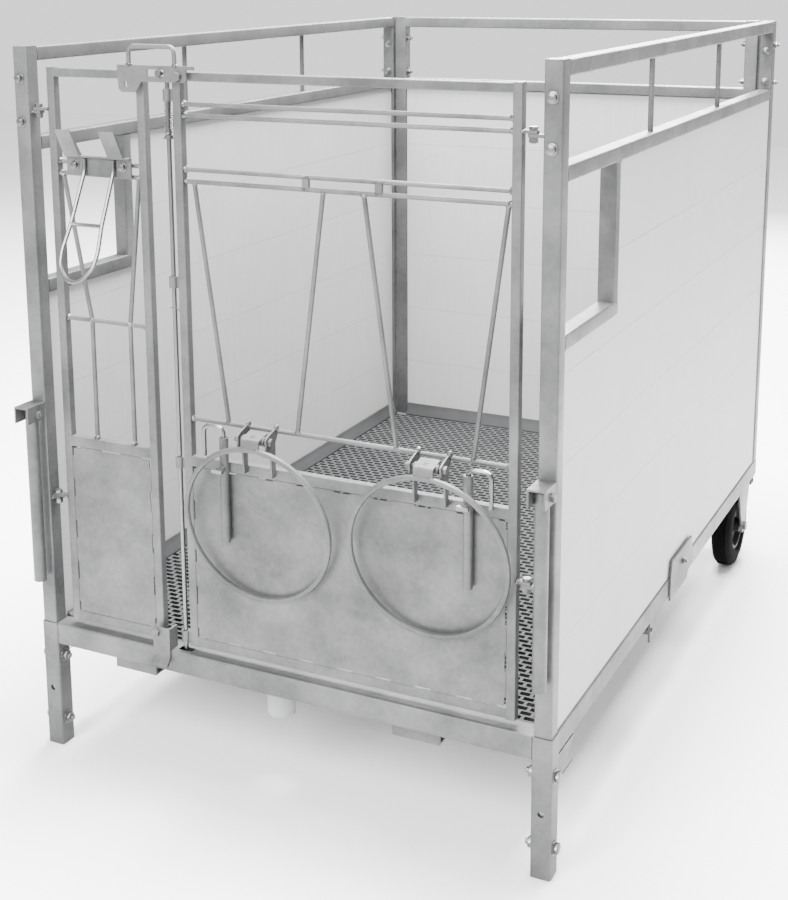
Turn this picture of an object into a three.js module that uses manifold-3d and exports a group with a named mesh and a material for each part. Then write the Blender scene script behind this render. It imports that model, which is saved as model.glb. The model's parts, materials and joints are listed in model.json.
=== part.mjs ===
// A mobile calf hutch: a galvanised pen on two front legs and two rear wheels, with plastic plank walls,
// a slatted floor over a drain pan, a bolted-in narrow gate and a wide feeding door with bucket rings.
// Millimetres, +Z up. Pieces are laid out from the front left corner of the posts at floor level
// (x to the right, y to the back), and the finished model is centred on its own footprint at the end.
import * as THREE from 'three';
import { mergeVertices } from 'three/addons/utils/BufferGeometryUtils.js';
import Module from 'manifold-3d';

const wasm = await Module();
wasm.setup();

// ---- driving dimensions ----
const WIDTH = 1000; // across the front posts
const LENGTH = 1478; // front face of the front posts to the back face of the rear posts
const TOP = 1307; // top of the posts and of the top rails
const BASE_TOP = 246; // top of the base frame
const BASE_HEIGHT = 42;
const BASE_WIDTH = 40; // base rails, seen from above
const BASE_BOTTOM = BASE_TOP - BASE_HEIGHT;
const CROSS_MEMBER_Y = [480, 950]; // low tubes under the floor
const CROSS_MEMBER_HEIGHT = 12;
const GAP = 0.3; // between pieces that touch
const BRACKET_Y = [[570, 606], [1452, 1476]]; // towing brackets below each side rail
const BRACKET_BOTTOM = [158, 185];
const CLIP_X = [138, 705]; // pan clips behind the front rail
const CLIP_WIDTH = 88;
const CLIP_BOTTOM = 168;

const POST = 30; // square posts
const RAIL = 25; // height of the wall rails
const TUBE_WALL = 2;
const RAIL_INSET = 0.4; // a rail lies this far inside the faces of the post or stile that it is welded to
const MID_RAIL_TOP = 1151;
const SILL_TOP = 894;
const WINDOW_BACK = 293; // back face of the tube behind the side window
const WALL_ROD_Y = [505, 990]; // short round bars between top rail and mid rail
const WALL_ROD_RADIUS = 5;

const BACK_POST_X = 35; // outer face of the back panel's own posts
const BOARD = 20; // thickness of the plastic planks
const BOARD_INSET = 5; // planks lie this far inside the frame's faces

const LEG = 35;
const LEG_PROUD = 2; // the leg stands this far proud of the post above it
const LEG_HOLE_Z = 114;
const GUSSET_LENGTH = 75;
const GUSSET_DROP = 70;
const PLATE = 4; // thickness of brackets and gussets

const WHEEL_RADIUS = 100;
const WHEEL_WIDTH = 48;
const WHEEL_X = 41; // centre plane of a wheel, from the outer face
const WHEEL_Y = 1395;
const RIM_RADIUS = 58;
const AXLE_RADIUS = 6;

const DOOR_TUBE = 16;
const DOOR_WALL = 1.5;
const DOOR_FRONT = 10; // front face of both doors
const DOOR_MIDDLE = DOOR_FRONT + DOOR_TUBE / 2;
const DOOR_TOP = 1272;
const DOOR_BOTTOM = 258;
const PANEL_RAIL_TOP = 613;
const PANEL_RAIL_HEIGHT = 19;
const SHEET = 2;
const BAR_RADIUS = 4;

const MAIN_LEFT = 320; // outer faces of the main door's stiles
const MAIN_RIGHT = 934;
const NARROW_LEFT = 62;
const NARROW_RIGHT = 264;
const MAIN_HINGE_X = 950;
const NARROW_HINGE_X = 40;
const HINGE_Y = 14;
const HINGE_Z = [488, 1192]; // heights of the hinge lugs
const LUG = 5; // thickness of a hinge lug
const LUG_REACH = 7; // past the pin's centre line
const LUG_HALF = 6.5;
const PIN_RADIUS = 4;
const PIN_CLEARANCE = 0.4;

const UPPER_BARS = [1199, 1218];
const FEED_BARS = [1090, 1110];
const FEED_TIE_X = [565, 695]; // short plates between the two feed bars
const BUCKET_BAR_Z = 679;
const BUCKET_X = [475, 790]; // centre lines of the two feeding places
const V_TOP_HALF = 121; // half widths of a feeding gap at its top and bottom
const V_BOTTOM_HALF = 67;

const RING_RADIUS = 138;
const RING_WIRE = 5;
const RING_PIVOT_Y = -10;
const RING_PIVOT_Z = 667;
const RING_TOP_Y = -24; // the ring's own top and its lean towards the door sheet
const RING_TOP_Z = 654;
const RING_LEAN = 0.098;
const EAR_HALF = 27; // from a feeding place's centre line to the middle of an ear
const EAR_PLATE = 3;

const HOOK_X = [407, 855];
const HOOK_TUBE_TOP = [659, 661];
const HOOK_TOP = [676, 670];
const HOOK_LEG_BOTTOM = [622, 611];
const HOOK_SIDE = [-1, 1]; // the short leg points away from the bucket ring
const HOOK_REACH = 39;
const HOOK_TUBE_BOTTOM = 473;
const HOOK_TUBE_RADIUS = 8;
const HOOK_ROD_RADIUS = 4;
const HOOK_Y = 1.7;
const HOOK_SCREW_Z = [606, 614];

const LEVER_LEFT = 221;
const LEVER_RIGHT = 357;
const LEVER_TOP = 1281;
const LEVER_BOTTOM = 1254;
const LEVER_TAB_BOTTOM = 1236;
const LEVER_FRONT = -3;
const LEVER_PIVOT_X = 341;
const LEVER_PIVOT_Z = 1264;
const ROD_X = 306; // the sprung drop rod beside the main door's left stile
const ROD_RADIUS = 4;
const ROD_TOP = 1274;
const ROD_PIN_Z = 1269;
const ROD_GUIDE_Z = [1222, 906, 586, 262];
const SPRING_TOP = 1221.5;
const SPRING_BOTTOM = 1165;

const HANDLE_BRACKET_DEPTH = 48;
const HANDLE_BRACKET_TOP = 673;
const HANDLE_RADIUS = 12.5;
const HANDLE_Y = -20;
const HANDLE_PIVOT_Z = 655;
const HANDLE_BOTTOM = 337;

const HOLDER_BOTTOM = 1090; // bottle holder on the narrow gate
const HOLDER_TOP = 1124;
const HOLDER_ARM = 31; // width of the two arms that steady the bottle
const HOLDER_ARM_X = [101, 192];
const HOLDER_LEFT = 101;
const HOLDER_RIGHT = 235;
const HOLDER_Y = 6.5;
const LOOP_WIRE = 3.5;
const LOOP_X = 171; // middle of the loop
const LOOP_LEAN = 0.45; // radians away from the gate

// ---- materials ----
const galvanised = new THREE.MeshStandardMaterial({ color: 0xb4b7ba, roughness: 0.45, metalness: 0.85 });
const zinc = new THREE.MeshStandardMaterial({ color: 0xc4c6c9, roughness: 0.3, metalness: 0.95 });
const board = new THREE.MeshStandardMaterial({ color: 0xe9e9e6, roughness: 0.5, metalness: 0 });
const grate = new THREE.MeshStandardMaterial({ color: 0x7d8083, roughness: 0.6, metalness: 0 });
const panPlastic = new THREE.MeshStandardMaterial({ color: 0x9a9c9e, roughness: 0.55, metalness: 0 });
const rubber = new THREE.MeshStandardMaterial({ color: 0x17181a, roughness: 0.8, metalness: 0 });
const rim = new THREE.MeshStandardMaterial({ color: 0x2b2d30, roughness: 0.5, metalness: 0 });

// ---- solids ----
const AXES = {
  x: new THREE.Matrix4().makeBasis(
    new THREE.Vector3(0, 1, 0), new THREE.Vector3(0, 0, 1), new THREE.Vector3(1, 0, 0)),
  y: new THREE.Matrix4().makeBasis(
    new THREE.Vector3(0, 0, 1), new THREE.Vector3(1, 0, 0), new THREE.Vector3(0, 1, 0)),
  z: new THREE.Matrix4(),
};

function toSolid(geometry) {
  const bare = geometry.index ? geometry.toNonIndexed() : geometry.clone();
  bare.deleteAttribute('normal');
  bare.deleteAttribute('uv');
  const merged = mergeVertices(bare, 1e-3);
  const mesh = new wasm.Mesh({
    numProp: 3,
    vertProperties: merged.attributes.position.array,
    triVerts: new Uint32Array(merged.index.array),
  });
  return new wasm.Manifold(mesh);
}

function toGeometry(solid) {
  const mesh = solid.getMesh();
  const geometry = new THREE.BufferGeometry();
  geometry.setAttribute('position', new THREE.BufferAttribute(mesh.vertProperties, 3));
  geometry.setIndex(new THREE.BufferAttribute(mesh.triVerts, 1));
  geometry.computeVertexNormals();
  return geometry;
}

function join(...geometries) {
  return toGeometry(geometries.map(toSolid).reduce((all, next) => all.add(next)));
}

function cut(geometry, ...tools) {
  return toGeometry(tools.map(toSolid).reduce((rest, tool) => rest.subtract(tool), toSolid(geometry)));
}

// A box from its lowest to its highest corner.
function box(low, high) {
  const size = high.map((value, i) => value - low[i]);
  const middle = high.map((value, i) => (value + low[i]) / 2);
  return new THREE.BoxGeometry(...size).translate(...middle);
}

// A round bar between two points.
function bar(from, to, radius, sides = 12) {
  const start = new THREE.Vector3(...from);
  const run = new THREE.Vector3(...to).sub(start);
  const turn = new THREE.Quaternion().setFromUnitVectors(new THREE.Vector3(0, 1, 0), run.clone().normalize());
  const middle = start.clone().addScaledVector(run, 0.5);
  const geometry = new THREE.CylinderGeometry(radius, radius, run.length(), sides);
  return geometry.applyQuaternion(turn).translate(middle.x, middle.y, middle.z);
}

// A flat outline in the plane across an axis, thickened from one place to another along that axis.
// Along x the outline is (y, z), along y it is (z, x) and along z it is (x, y).
function plate(outline, axis, from, to, holes = []) {
  const shape = new THREE.Shape(outline.map((point) => new THREE.Vector2(...point)));
  for (const [a, b, radius] of holes) {
    shape.holes.push(new THREE.Path().absarc(a, b, radius, 0, 2 * Math.PI));
  }
  const settings = { depth: to - from, bevelEnabled: false, curveSegments: 6 };
  const geometry = new THREE.ExtrudeGeometry(shape, settings);
  return geometry.translate(0, 0, from).applyMatrix4(AXES[axis]);
}

function roundedRectangle(low, high, radius) {
  const shape = new THREE.Shape();
  shape.absarc(high[0] - radius, high[1] - radius, radius, 0, Math.PI / 2);
  shape.absarc(low[0] + radius, high[1] - radius, radius, Math.PI / 2, Math.PI);
  shape.absarc(low[0] + radius, low[1] + radius, radius, Math.PI, 1.5 * Math.PI);
  shape.absarc(high[0] - radius, low[1] + radius, radius, 1.5 * Math.PI, 2 * Math.PI);
  return shape;
}

// A bar of rectangular tube with rounded edges filling the box from low to high, along an axis.
function squareBar(low, high, axis, radius) {
  const order = { x: [1, 2, 0], y: [2, 0, 1], z: [0, 1, 2] }[axis];
  const [a, b, c] = order;
  const shape = roundedRectangle([low[a], low[b]], [high[a], high[b]], radius);
  const depth = high[c] - low[c];
  const geometry = new THREE.ExtrudeGeometry(shape, { depth, bevelEnabled: false, curveSegments: 3 });
  return geometry.translate(0, 0, low[c]).applyMatrix4(AXES[axis]);
}

// The space inside such a tube. An open end runs past the tube, a capped one stops inside it,
// and a joined one reaches as far as the tube itself, into the tube that it is welded to.
function core(low, high, axis, wall, ends) {
  const along = { x: 0, y: 1, z: 2 }[axis];
  const inner = { joined: 0, capped: wall, open: -1 };
  const a = low.map((value, i) => (i === along ? value + inner[ends[0]] : value + wall));
  const b = high.map((value, i) => (i === along ? value - inner[ends[1]] : value - wall));
  return box(a, b);
}

// A welded frame of rectangular tubes, hollow throughout, with any solid bars that are welded on.
function weldment(tubes, wall, radius, extras = []) {
  const skins = tubes.map(([axis, low, high]) => squareBar(low, high, axis, radius));
  const cores = tubes.map(([axis, low, high, ends]) => core(low, high, axis, wall, ends));
  const hollow = toSolid(join(...skins)).subtract(toSolid(join(...cores)));
  return toGeometry(extras.map(toSolid).reduce((all, next) => all.add(next), hollow));
}

// A round bar bent through a list of points, with a rounded bend at each inner one.
function bentBar(points, bend, radius, steps) {
  const path = new THREE.CurvePath();
  const corners = points.map((point) => new THREE.Vector3(...point));
  let start = corners[0];
  for (let i = 1; i < corners.length - 1; i += 1) {
    const before = corners[i].clone().sub(corners[i - 1]).setLength(bend);
    const after = corners[i + 1].clone().sub(corners[i]).setLength(bend);
    const into = corners[i].clone().sub(before);
    const out = corners[i].clone().add(after);
    path.add(new THREE.LineCurve3(start, into));
    path.add(new THREE.QuadraticBezierCurve3(into, corners[i], out));
    start = out;
  }
  path.add(new THREE.LineCurve3(start, corners[corners.length - 1]));
  const section = new THREE.Shape().absarc(0, 0, radius, 0, 2 * Math.PI);
  return new THREE.ExtrudeGeometry(section, { steps, curveSegments: 4, extrudePath: path });
}

// A ring turned about the x axis from a closed outline of (radius, x) points.
function turned(outline, segments) {
  const points = outline.map(([radius, x]) => new THREE.Vector2(radius, x));
  points.push(points[0].clone());
  return new THREE.LatheGeometry(points, segments).rotateZ(-Math.PI / 2);
}

const model = new THREE.Group();

function add(name, geometry, material) {
  const mesh = new THREE.Mesh(geometry, material);
  mesh.name = name;
  model.add(mesh);
  return mesh;
}

// The same piece on the left and, mirrored, on the right.
function addPair(name, geometry, material) {
  add(`${name}_left`, geometry, material);
  const right = add(`${name}_right`, geometry, material);
  right.scale.x = -1;
  right.position.x = WIDTH;
}

// ---- base, floor and drain ----
// A channel under a side rail with a pin across it.
function towingBracket([from, to], bottom) {
  const [outer, inner, top] = [4, 36, BASE_BOTTOM + 1.5];
  const cheeks = [outer, inner - PLATE].map((x) => box([x, from, bottom], [x + PLATE, to, top]));
  const web = box([outer, to - PLATE, bottom], [inner, to, top]);
  const at = (x) => [x, from + 8, (bottom + top) / 2];
  return [...cheeks, web, bar(at(outer - 3), at(inner + 3), PIN_RADIUS, 16)];
}

// A hook behind the front rail that holds up the edge of the pan.
function panClip(x) {
  const [from, to, top] = [34, 38, BASE_BOTTOM + 1.5];
  return [box([x, from, CLIP_BOTTOM], [x + CLIP_WIDTH, to, top]),
    box([x, from, CLIP_BOTTOM], [x + CLIP_WIDTH, to + 24, CLIP_BOTTOM + 3])];
}

function baseFrame() {
  const [inner, back, legBack] = [BASE_WIDTH / 2, LENGTH - BASE_WIDTH, LEG - LEG_PROUD + GAP];
  const across = (y, depth, height) => ['x', [inner, y, BASE_BOTTOM + RAIL_INSET],
    [WIDTH - inner, y + depth, BASE_BOTTOM + height], ['joined', 'joined']];
  const side = (x) => ['y', [x, legBack, BASE_BOTTOM + RAIL_INSET],
    [x + BASE_WIDTH, LENGTH, BASE_TOP - RAIL_INSET], ['open', 'capped']];
  const tubes = [
    ['x', [legBack, 0, BASE_BOTTOM], [WIDTH - legBack, BASE_WIDTH, BASE_TOP], ['open', 'open']],
    side(0),
    side(WIDTH - BASE_WIDTH),
    across(back, BASE_WIDTH - 1, BASE_HEIGHT - 2 * RAIL_INSET),
    ...CROSS_MEMBER_Y.map((y) => across(y, POST, CROSS_MEMBER_HEIGHT)),
  ];
  const keeper = box([294, 10, BASE_TOP - BASE_HEIGHT / 2], [322, 24, BASE_TOP + 1]);
  const brackets = BRACKET_Y.flatMap((span, i) => towingBracket(span, BRACKET_BOTTOM[i]));
  const opposite = brackets.map((piece) => piece.clone().translate(WIDTH - BASE_WIDTH, 0, 0));
  const clips = CLIP_X.flatMap(panClip);
  return cut(weldment(tubes, TUBE_WALL, 4, [...brackets, ...opposite, ...clips]), keeper);
}

function floorGrate() {
  const edge = BASE_WIDTH + 1;
  return box([edge, edge, BASE_BOTTOM + 12.5], [WIDTH - edge, LENGTH - edge, BASE_TOP - 2]);
}

// A shallow tray that falls to the front, with its outlet stub behind the front rail.
function drainPan() {
  const [front, back, rimZ] = [44, 1434, BASE_BOTTOM - 1];
  const [outletX, outletY] = [468, 72];
  const outer = plate([[front, rimZ], [front, 180], [back, 190], [back, rimZ]], 'x', 80, 920);
  const hollow = [[front + 2, rimZ + 1], [front + 2, 182], [back - 2, 192], [back - 2, rimZ + 1]];
  const inside = plate(hollow, 'x', 82, 918);
  const stub = bar([outletX, outletY, 136], [outletX, outletY, 182], 25, 24);
  const bore = bar([outletX, outletY, 135], [outletX, outletY, 190], 22, 24);
  return cut(join(cut(outer, inside), stub), bore);
}

function leg() {
  const [low, high] = [[-LEG_PROUD, -LEG_PROUD, 0], [LEG - LEG_PROUD, LEG - LEG_PROUD, BASE_TOP - GAP]];
  const back = LEG - LEG_PROUD;
  const rise = BASE_BOTTOM - GAP;
  const outline = [[back - 1, rise], [back - 1, rise - GUSSET_DROP], [back + 12, rise - GUSSET_DROP + 22],
    [back + 34, rise - 26], [back + GUSSET_LENGTH, rise - 8], [back + GUSSET_LENGTH, rise]];
  const gusset = plate(outline, 'x', 0, PLATE);
  const middle = LEG / 2 - LEG_PROUD;
  const hole = bar([middle, -LEG_PROUD - 1, LEG_HOLE_Z], [middle, 2, LEG_HOLE_Z], 5.5, 16);
  return cut(weldment([['z', low, high, ['capped', 'open']]], 2.5, 4, [gusset]), hole);
}

// ---- walls ----
// A hinge lug for a vertical pin, with its hole, welded to a post or a stile.
function hingeLug(fromX, pinX, z) {
  const outer = pinX + Math.sign(pinX - fromX) * LUG_REACH;
  const [low, high] = [Math.min(fromX, outer), Math.max(fromX, outer)];
  const body = box([low, HINGE_Y - LUG_HALF, z], [high, HINGE_Y + LUG_HALF, z + LUG]);
  const hole = bar([pinX, HINGE_Y, z - 1], [pinX, HINGE_Y, z + LUG + 1], PIN_RADIUS + PIN_CLEARANCE);
  return cut(body, hole);
}

function frontPost(hingeX) {
  const lugs = HINGE_Z.map((z) => hingeLug(POST - 1, hingeX, z));
  return weldment([['z', [0, 0, BASE_TOP + GAP], [POST, POST, TOP], ['open', 'capped']]], TUBE_WALL, 3, lugs);
}

function rearPost() {
  const tube = ['z', [0, LENGTH - POST, BASE_TOP + GAP], [POST, LENGTH, TOP], ['open', 'capped']];
  return weldment([tube], TUBE_WALL, 3);
}

function sideRail(top, extras = []) {
  const low = [RAIL_INSET, POST + GAP, top - RAIL];
  const high = [POST - RAIL_INSET, LENGTH - POST - GAP, top];
  return weldment([['y', low, high, ['open', 'open']]], TUBE_WALL, 3, extras);
}

function sideTopRail() {
  const rods = WALL_ROD_Y.map((y) => (
    bar([POST / 2, y, MID_RAIL_TOP + GAP], [POST / 2, y, TOP - RAIL], WALL_ROD_RADIUS)));
  return sideRail(TOP - 1, rods);
}

// The sill and the upright behind the side window.
function windowFrame() {
  const [low, high] = [RAIL_INSET, POST - RAIL_INSET];
  return weldment([
    ['y', [low, POST + GAP, SILL_TOP - RAIL], [high, WINDOW_BACK - 1, SILL_TOP], ['open', 'capped']],
    ['z', [2 * low, WINDOW_BACK - RAIL, SILL_TOP - RAIL / 2],
      [POST - 2 * low, WINDOW_BACK, MID_RAIL_TOP - RAIL - GAP], ['joined', 'open']],
  ], TUBE_WALL, 3);
}

function backFrame() {
  const bottom = BASE_TOP + GAP;
  const [front, half] = [LENGTH - POST, POST / 2];
  const post = (x) => ['z', [x, front, bottom], [x + POST, LENGTH, TOP], ['open', 'capped']];
  const rail = (top) => ['x', [BACK_POST_X + half, front + RAIL_INSET, top - RAIL],
    [WIDTH - BACK_POST_X - half, LENGTH - RAIL_INSET, top], ['joined', 'joined']];
  const tubes = [post(BACK_POST_X), post(WIDTH - BACK_POST_X - POST), rail(TOP - 1), rail(MID_RAIL_TOP)];
  return weldment(tubes, TUBE_WALL, 3);
}

function sideBoards() {
  const [front, back] = [POST + GAP, LENGTH - POST - GAP];
  const [bottom, top] = [BASE_TOP + GAP, MID_RAIL_TOP - RAIL - GAP];
  const [sill, window] = [SILL_TOP - RAIL - GAP, WINDOW_BACK + GAP];
  const outline = [[front, bottom], [back, bottom], [back, top],
    [window, top], [window, sill], [front, sill]];
  return plate(outline, 'x', BOARD_INSET, BOARD_INSET + BOARD);
}

function backBoards() {
  const side = BACK_POST_X + POST + GAP;
  const front = LENGTH - POST + BOARD_INSET;
  return box([side, front, BASE_TOP + GAP], [WIDTH - side, front + BOARD, MID_RAIL_TOP - RAIL - GAP]);
}

// ---- wheels ----
// A fork with the wheel's axle bolt through it.
function wheelFork() {
  const [top, half] = [BASE_BOTTOM - GAP, WHEEL_WIDTH / 2];
  const [from, to] = [WHEEL_Y - 55, WHEEL_Y + 55];
  const [eye, foot] = [WHEEL_RADIUS - 6, WHEEL_RADIUS - 16];
  const cheek = [[from, top], [from, top - 8], [WHEEL_Y - 14, eye], [WHEEL_Y - 6, foot],
    [WHEEL_Y + 8, foot], [WHEEL_Y + 16, eye], [to, top - 8], [to, top]];
  const [outer, inner] = [WHEEL_X - half - 6, WHEEL_X + half + 6];
  const cheeks = [outer - PLATE, inner].map((x) => plate(cheek, 'x', x, x + PLATE));
  const bridges = [from, to - 20].map((y) => box([outer - 1, y, top - PLATE], [inner + 1, y + 20, top]));
  const at = (x) => [x, WHEEL_Y, WHEEL_RADIUS];
  const shank = bar(at(outer - PLATE - 1), at(inner + PLATE + 12), AXLE_RADIUS, 16);
  const head = bar(at(outer - PLATE - 7), at(outer - PLATE + 1), 11, 6);
  const nut = bar(at(inner + PLATE - 1), at(inner + PLATE + 9), 11, 6);
  return join(...cheeks, ...bridges, shank, head, nut);
}

function tyre() {
  const half = WHEEL_WIDTH / 2;
  const side = [[RIM_RADIUS + GAP, half - 6], [RIM_RADIUS + 8, half], [WHEEL_RADIUS - 18, half],
    [WHEEL_RADIUS - 6, half - 4], [WHEEL_RADIUS, half - 13]];
  const outline = [...side.map(([radius, x]) => [radius, -x]), ...side.reverse()];
  return turned(outline, 36).translate(WHEEL_X, WHEEL_Y, WHEEL_RADIUS);
}

function hub() {
  const half = WHEEL_WIDTH / 2;
  const outline = [[AXLE_RADIUS + 0.5, -half - 2], [16, -half - 2], [18, -9], [48, -7], [52, -half + 5],
    [RIM_RADIUS, -half + 5], [RIM_RADIUS, half - 5], [52, half - 5], [48, 7], [18, 9], [16, half + 2],
    [AXLE_RADIUS + 0.5, half + 2]];
  return turned(outline, 24).translate(WHEEL_X, WHEEL_Y, WHEEL_RADIUS);
}

// ---- doors ----
function doorFrame(left, right, hingeX, extras) {
  const [front, back] = [DOOR_FRONT, DOOR_FRONT + DOOR_TUBE];
  const stiles = [left, right - DOOR_TUBE].map((x) => (
    ['z', [x, front, DOOR_BOTTOM], [x + DOOR_TUBE, back, DOOR_TOP], ['open', 'capped']]));
  const rail = (low, high) => ['x', [left + DOOR_TUBE / 2, front + RAIL_INSET, low],
    [right - DOOR_TUBE / 2, back - RAIL_INSET, high], ['joined', 'joined']];
  const rails = [
    rail(DOOR_TOP - DOOR_TUBE, DOOR_TOP - 1),
    rail(PANEL_RAIL_TOP - PANEL_RAIL_HEIGHT, PANEL_RAIL_TOP),
    rail(DOOR_BOTTOM + 1, DOOR_BOTTOM + PANEL_RAIL_HEIGHT),
  ];
  const stile = hingeX > right ? right - 1 : left + 1;
  const lugs = HINGE_Z.map((z) => hingeLug(stile, hingeX, z + LUG + 0.5));
  return weldment([...stiles, ...rails], DOOR_WALL, 2, [...lugs, ...extras]);
}

function doorSheet(left, right) {
  const inset = DOOR_TUBE + GAP;
  const top = PANEL_RAIL_TOP - PANEL_RAIL_HEIGHT - GAP;
  const bottom = DOOR_BOTTOM + PANEL_RAIL_HEIGHT + GAP;
  return box([left + inset, DOOR_FRONT + 1, bottom], [right - inset, DOOR_FRONT + 1 + SHEET, top]);
}

function hingePin(x, z) {
  const [bottom, top] = [z - 9, z + 2 * LUG + 1];
  const shank = bar([x, HINGE_Y, bottom], [x, HINGE_Y, top + 4], PIN_RADIUS);
  const head = bar([x, HINGE_Y, top], [x, HINGE_Y, top + 5], 7, 6);
  const nut = bar([x, HINGE_Y, z - 8], [x, HINGE_Y, z - GAP], 7, 6);
  return join(shank, head, nut);
}

// The rod guides are short bushes on a web along the main door's left stile.
function rodGuide(z) {
  const web = box([ROD_X, DOOR_MIDDLE - 2.5, z], [MAIN_LEFT + 1, DOOR_MIDDLE + 2.5, z + 20]);
  const bush = bar([ROD_X, DOOR_MIDDLE, z], [ROD_X, DOOR_MIDDLE, z + 20], 8, 16);
  const bore = bar([ROD_X, DOOR_MIDDLE, z - 1], [ROD_X, DOOR_MIDDLE, z + 21], ROD_RADIUS + 0.6, 16);
  return cut(join(web, bush), bore);
}

function mainDoorFrame() {
  const [from, to] = [MAIN_LEFT + DOOR_TUBE - 1, MAIN_RIGHT - DOOR_TUBE + 1];
  const bars = UPPER_BARS.map((z) => bar([from, DOOR_MIDDLE, z], [to, DOOR_MIDDLE, z], BAR_RADIUS));
  const at = (y) => [LEVER_PIVOT_X, y, LEVER_PIVOT_Z];
  const boss = bar(at(LEVER_FRONT + 3 + GAP), at(DOOR_FRONT + 1), 7);
  const shank = bar(at(LEVER_FRONT - 2), at(1), PIN_RADIUS);
  const pivot = [boss, shank, bar(at(LEVER_FRONT - 7), at(LEVER_FRONT - GAP), 8, 6)];
  return doorFrame(MAIN_LEFT, MAIN_RIGHT, MAIN_HINGE_X, [...bars, ...ROD_GUIDE_Z.map(rodGuide), ...pivot]);
}

function narrowGateBars() {
  const [left, right] = [NARROW_LEFT + DOOR_TUBE + GAP, NARROW_RIGHT - DOOR_TUBE - GAP];
  const y = DOOR_MIDDLE;
  const across = (z) => bar([left, y, z], [right, y, z], BAR_RADIUS);
  const [low, high, cross] = [PANEL_RAIL_TOP + GAP, FEED_BARS[0], 831];
  const tie = box([162, y - 3, high], [174, y + 3, FEED_BARS[1]]);
  const pieces = [...FEED_BARS.map(across), across(cross), tie];
  for (const [top, bottom] of [[84, 131], [243, 212]]) {
    pieces.push(bar([top, y, high], [bottom, y, cross], BAR_RADIUS));
    pieces.push(bar([bottom, y, cross], [bottom, y, low], BAR_RADIUS));
  }
  return join(...pieces);
}

function feedRail() {
  const [from, to] = [MAIN_LEFT + DOOR_TUBE + GAP, MAIN_RIGHT - DOOR_TUBE - GAP];
  const bars = FEED_BARS.map((z) => bar([from, DOOR_MIDDLE, z], [to, DOOR_MIDDLE, z], BAR_RADIUS));
  const ties = FEED_TIE_X.map((x) => (
    box([x - 6, DOOR_MIDDLE - 3, FEED_BARS[0]], [x + 6, DOOR_MIDDLE + 3, FEED_BARS[1]])));
  return join(...bars, ...ties);
}

function feedBar(topX, bottomX) {
  const clear = BAR_RADIUS + 0.8;
  const from = [topX, DOOR_MIDDLE, FEED_BARS[0] - clear];
  return bar(from, [bottomX, DOOR_MIDDLE, BUCKET_BAR_Z + clear], BAR_RADIUS);
}

function bucketRail() {
  const [from, to] = [MAIN_LEFT + DOOR_TUBE + GAP, MAIN_RIGHT - DOOR_TUBE - GAP];
  const foot = DOOR_FRONT - GAP;
  const outline = [[foot, 602], [-3, 602], [-5, 640], [-19, 654], [-21, 674], [-10, 679], [10, 684.5],
    [22, 684.5], [22, 679], [foot, 662]];
  const pieces = [bar([from, DOOR_MIDDLE, BUCKET_BAR_Z], [to, DOOR_MIDDLE, BUCKET_BAR_Z], BAR_RADIUS)];
  for (const middle of BUCKET_X) {
    for (const side of [-EAR_HALF, EAR_HALF]) {
      const x = middle + side;
      pieces.push(plate(outline, 'x', x - EAR_PLATE / 2, x + EAR_PLATE / 2));
    }
    pieces.push(...ringPivot(middle));
  }
  return join(...pieces);
}

// The bolt that a bucket ring swings on, through its two ears.
function ringPivot(middle) {
  const at = (dx) => [middle + dx, RING_PIVOT_Y, RING_PIVOT_Z];
  const ear = EAR_HALF + EAR_PLATE / 2;
  return [bar(at(-ear - 9), at(ear + 3), PIN_RADIUS), bar(at(-ear - 7), at(-ear + 1), 7, 6),
    bar(at(ear - 1), at(ear + 6), 7.5, 6)];
}

// A bucket ring: a round wire hoop on a bent tab with a barrel for its pivot bolt.
function bucketRing(middle) {
  const half = 21;
  const centreY = RING_TOP_Y + RING_RADIUS * Math.sin(RING_LEAN);
  const centreZ = RING_TOP_Z - RING_RADIUS * Math.cos(RING_LEAN);
  const hoop = new THREE.TorusGeometry(RING_RADIUS, RING_WIRE, 8, 48);
  hoop.rotateX(Math.PI / 2 + RING_LEAN).translate(middle, centreY, centreZ);
  const tab = plate([[4, 678], [-25, 672], [-27, 669], [-27, 655], [-24, 655], [-24, 667], [4, 675]], 'x',
    middle - 17, middle + 17);
  const tabHole = bar([middle, -14, 660], [middle, -14, 680], 4.5);
  const ends = [[middle - half, RING_PIVOT_Y, RING_PIVOT_Z], [middle + half, RING_PIVOT_Y, RING_PIVOT_Z]];
  const bore = bar([middle - half - 1, RING_PIVOT_Y, RING_PIVOT_Z],
    [middle + half + 1, RING_PIVOT_Y, RING_PIVOT_Z], PIN_RADIUS + PIN_CLEARANCE);
  return cut(join(hoop, cut(tab, tabHole), bar(...ends, 7.5, 16)), bore);
}

// ---- bucket hooks on the main door ----
function clampTube(i) {
  const x = HOOK_X[i];
  const body = bar([x, HOOK_Y, HOOK_TUBE_BOTTOM], [x, HOOK_Y, HOOK_TUBE_TOP[i]], HOOK_TUBE_RADIUS, 16);
  const boss = bar([x, HOOK_Y - 5, HOOK_SCREW_Z[i]], [x, HOOK_Y - 13, HOOK_SCREW_Z[i]], 7, 6);
  const ends = [HOOK_TUBE_BOTTOM - 1, HOOK_TUBE_TOP[i] + 1].map((z) => [x, HOOK_Y, z]);
  const bore = bar(...ends, HOOK_ROD_RADIUS + 1, 16);
  const screwHole = bar([x, HOOK_Y, HOOK_SCREW_Z[i]], [x, HOOK_Y - 14, HOOK_SCREW_Z[i]], PIN_RADIUS - 0.5);
  return cut(join(body, boss), bore, screwHole);
}

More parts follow.
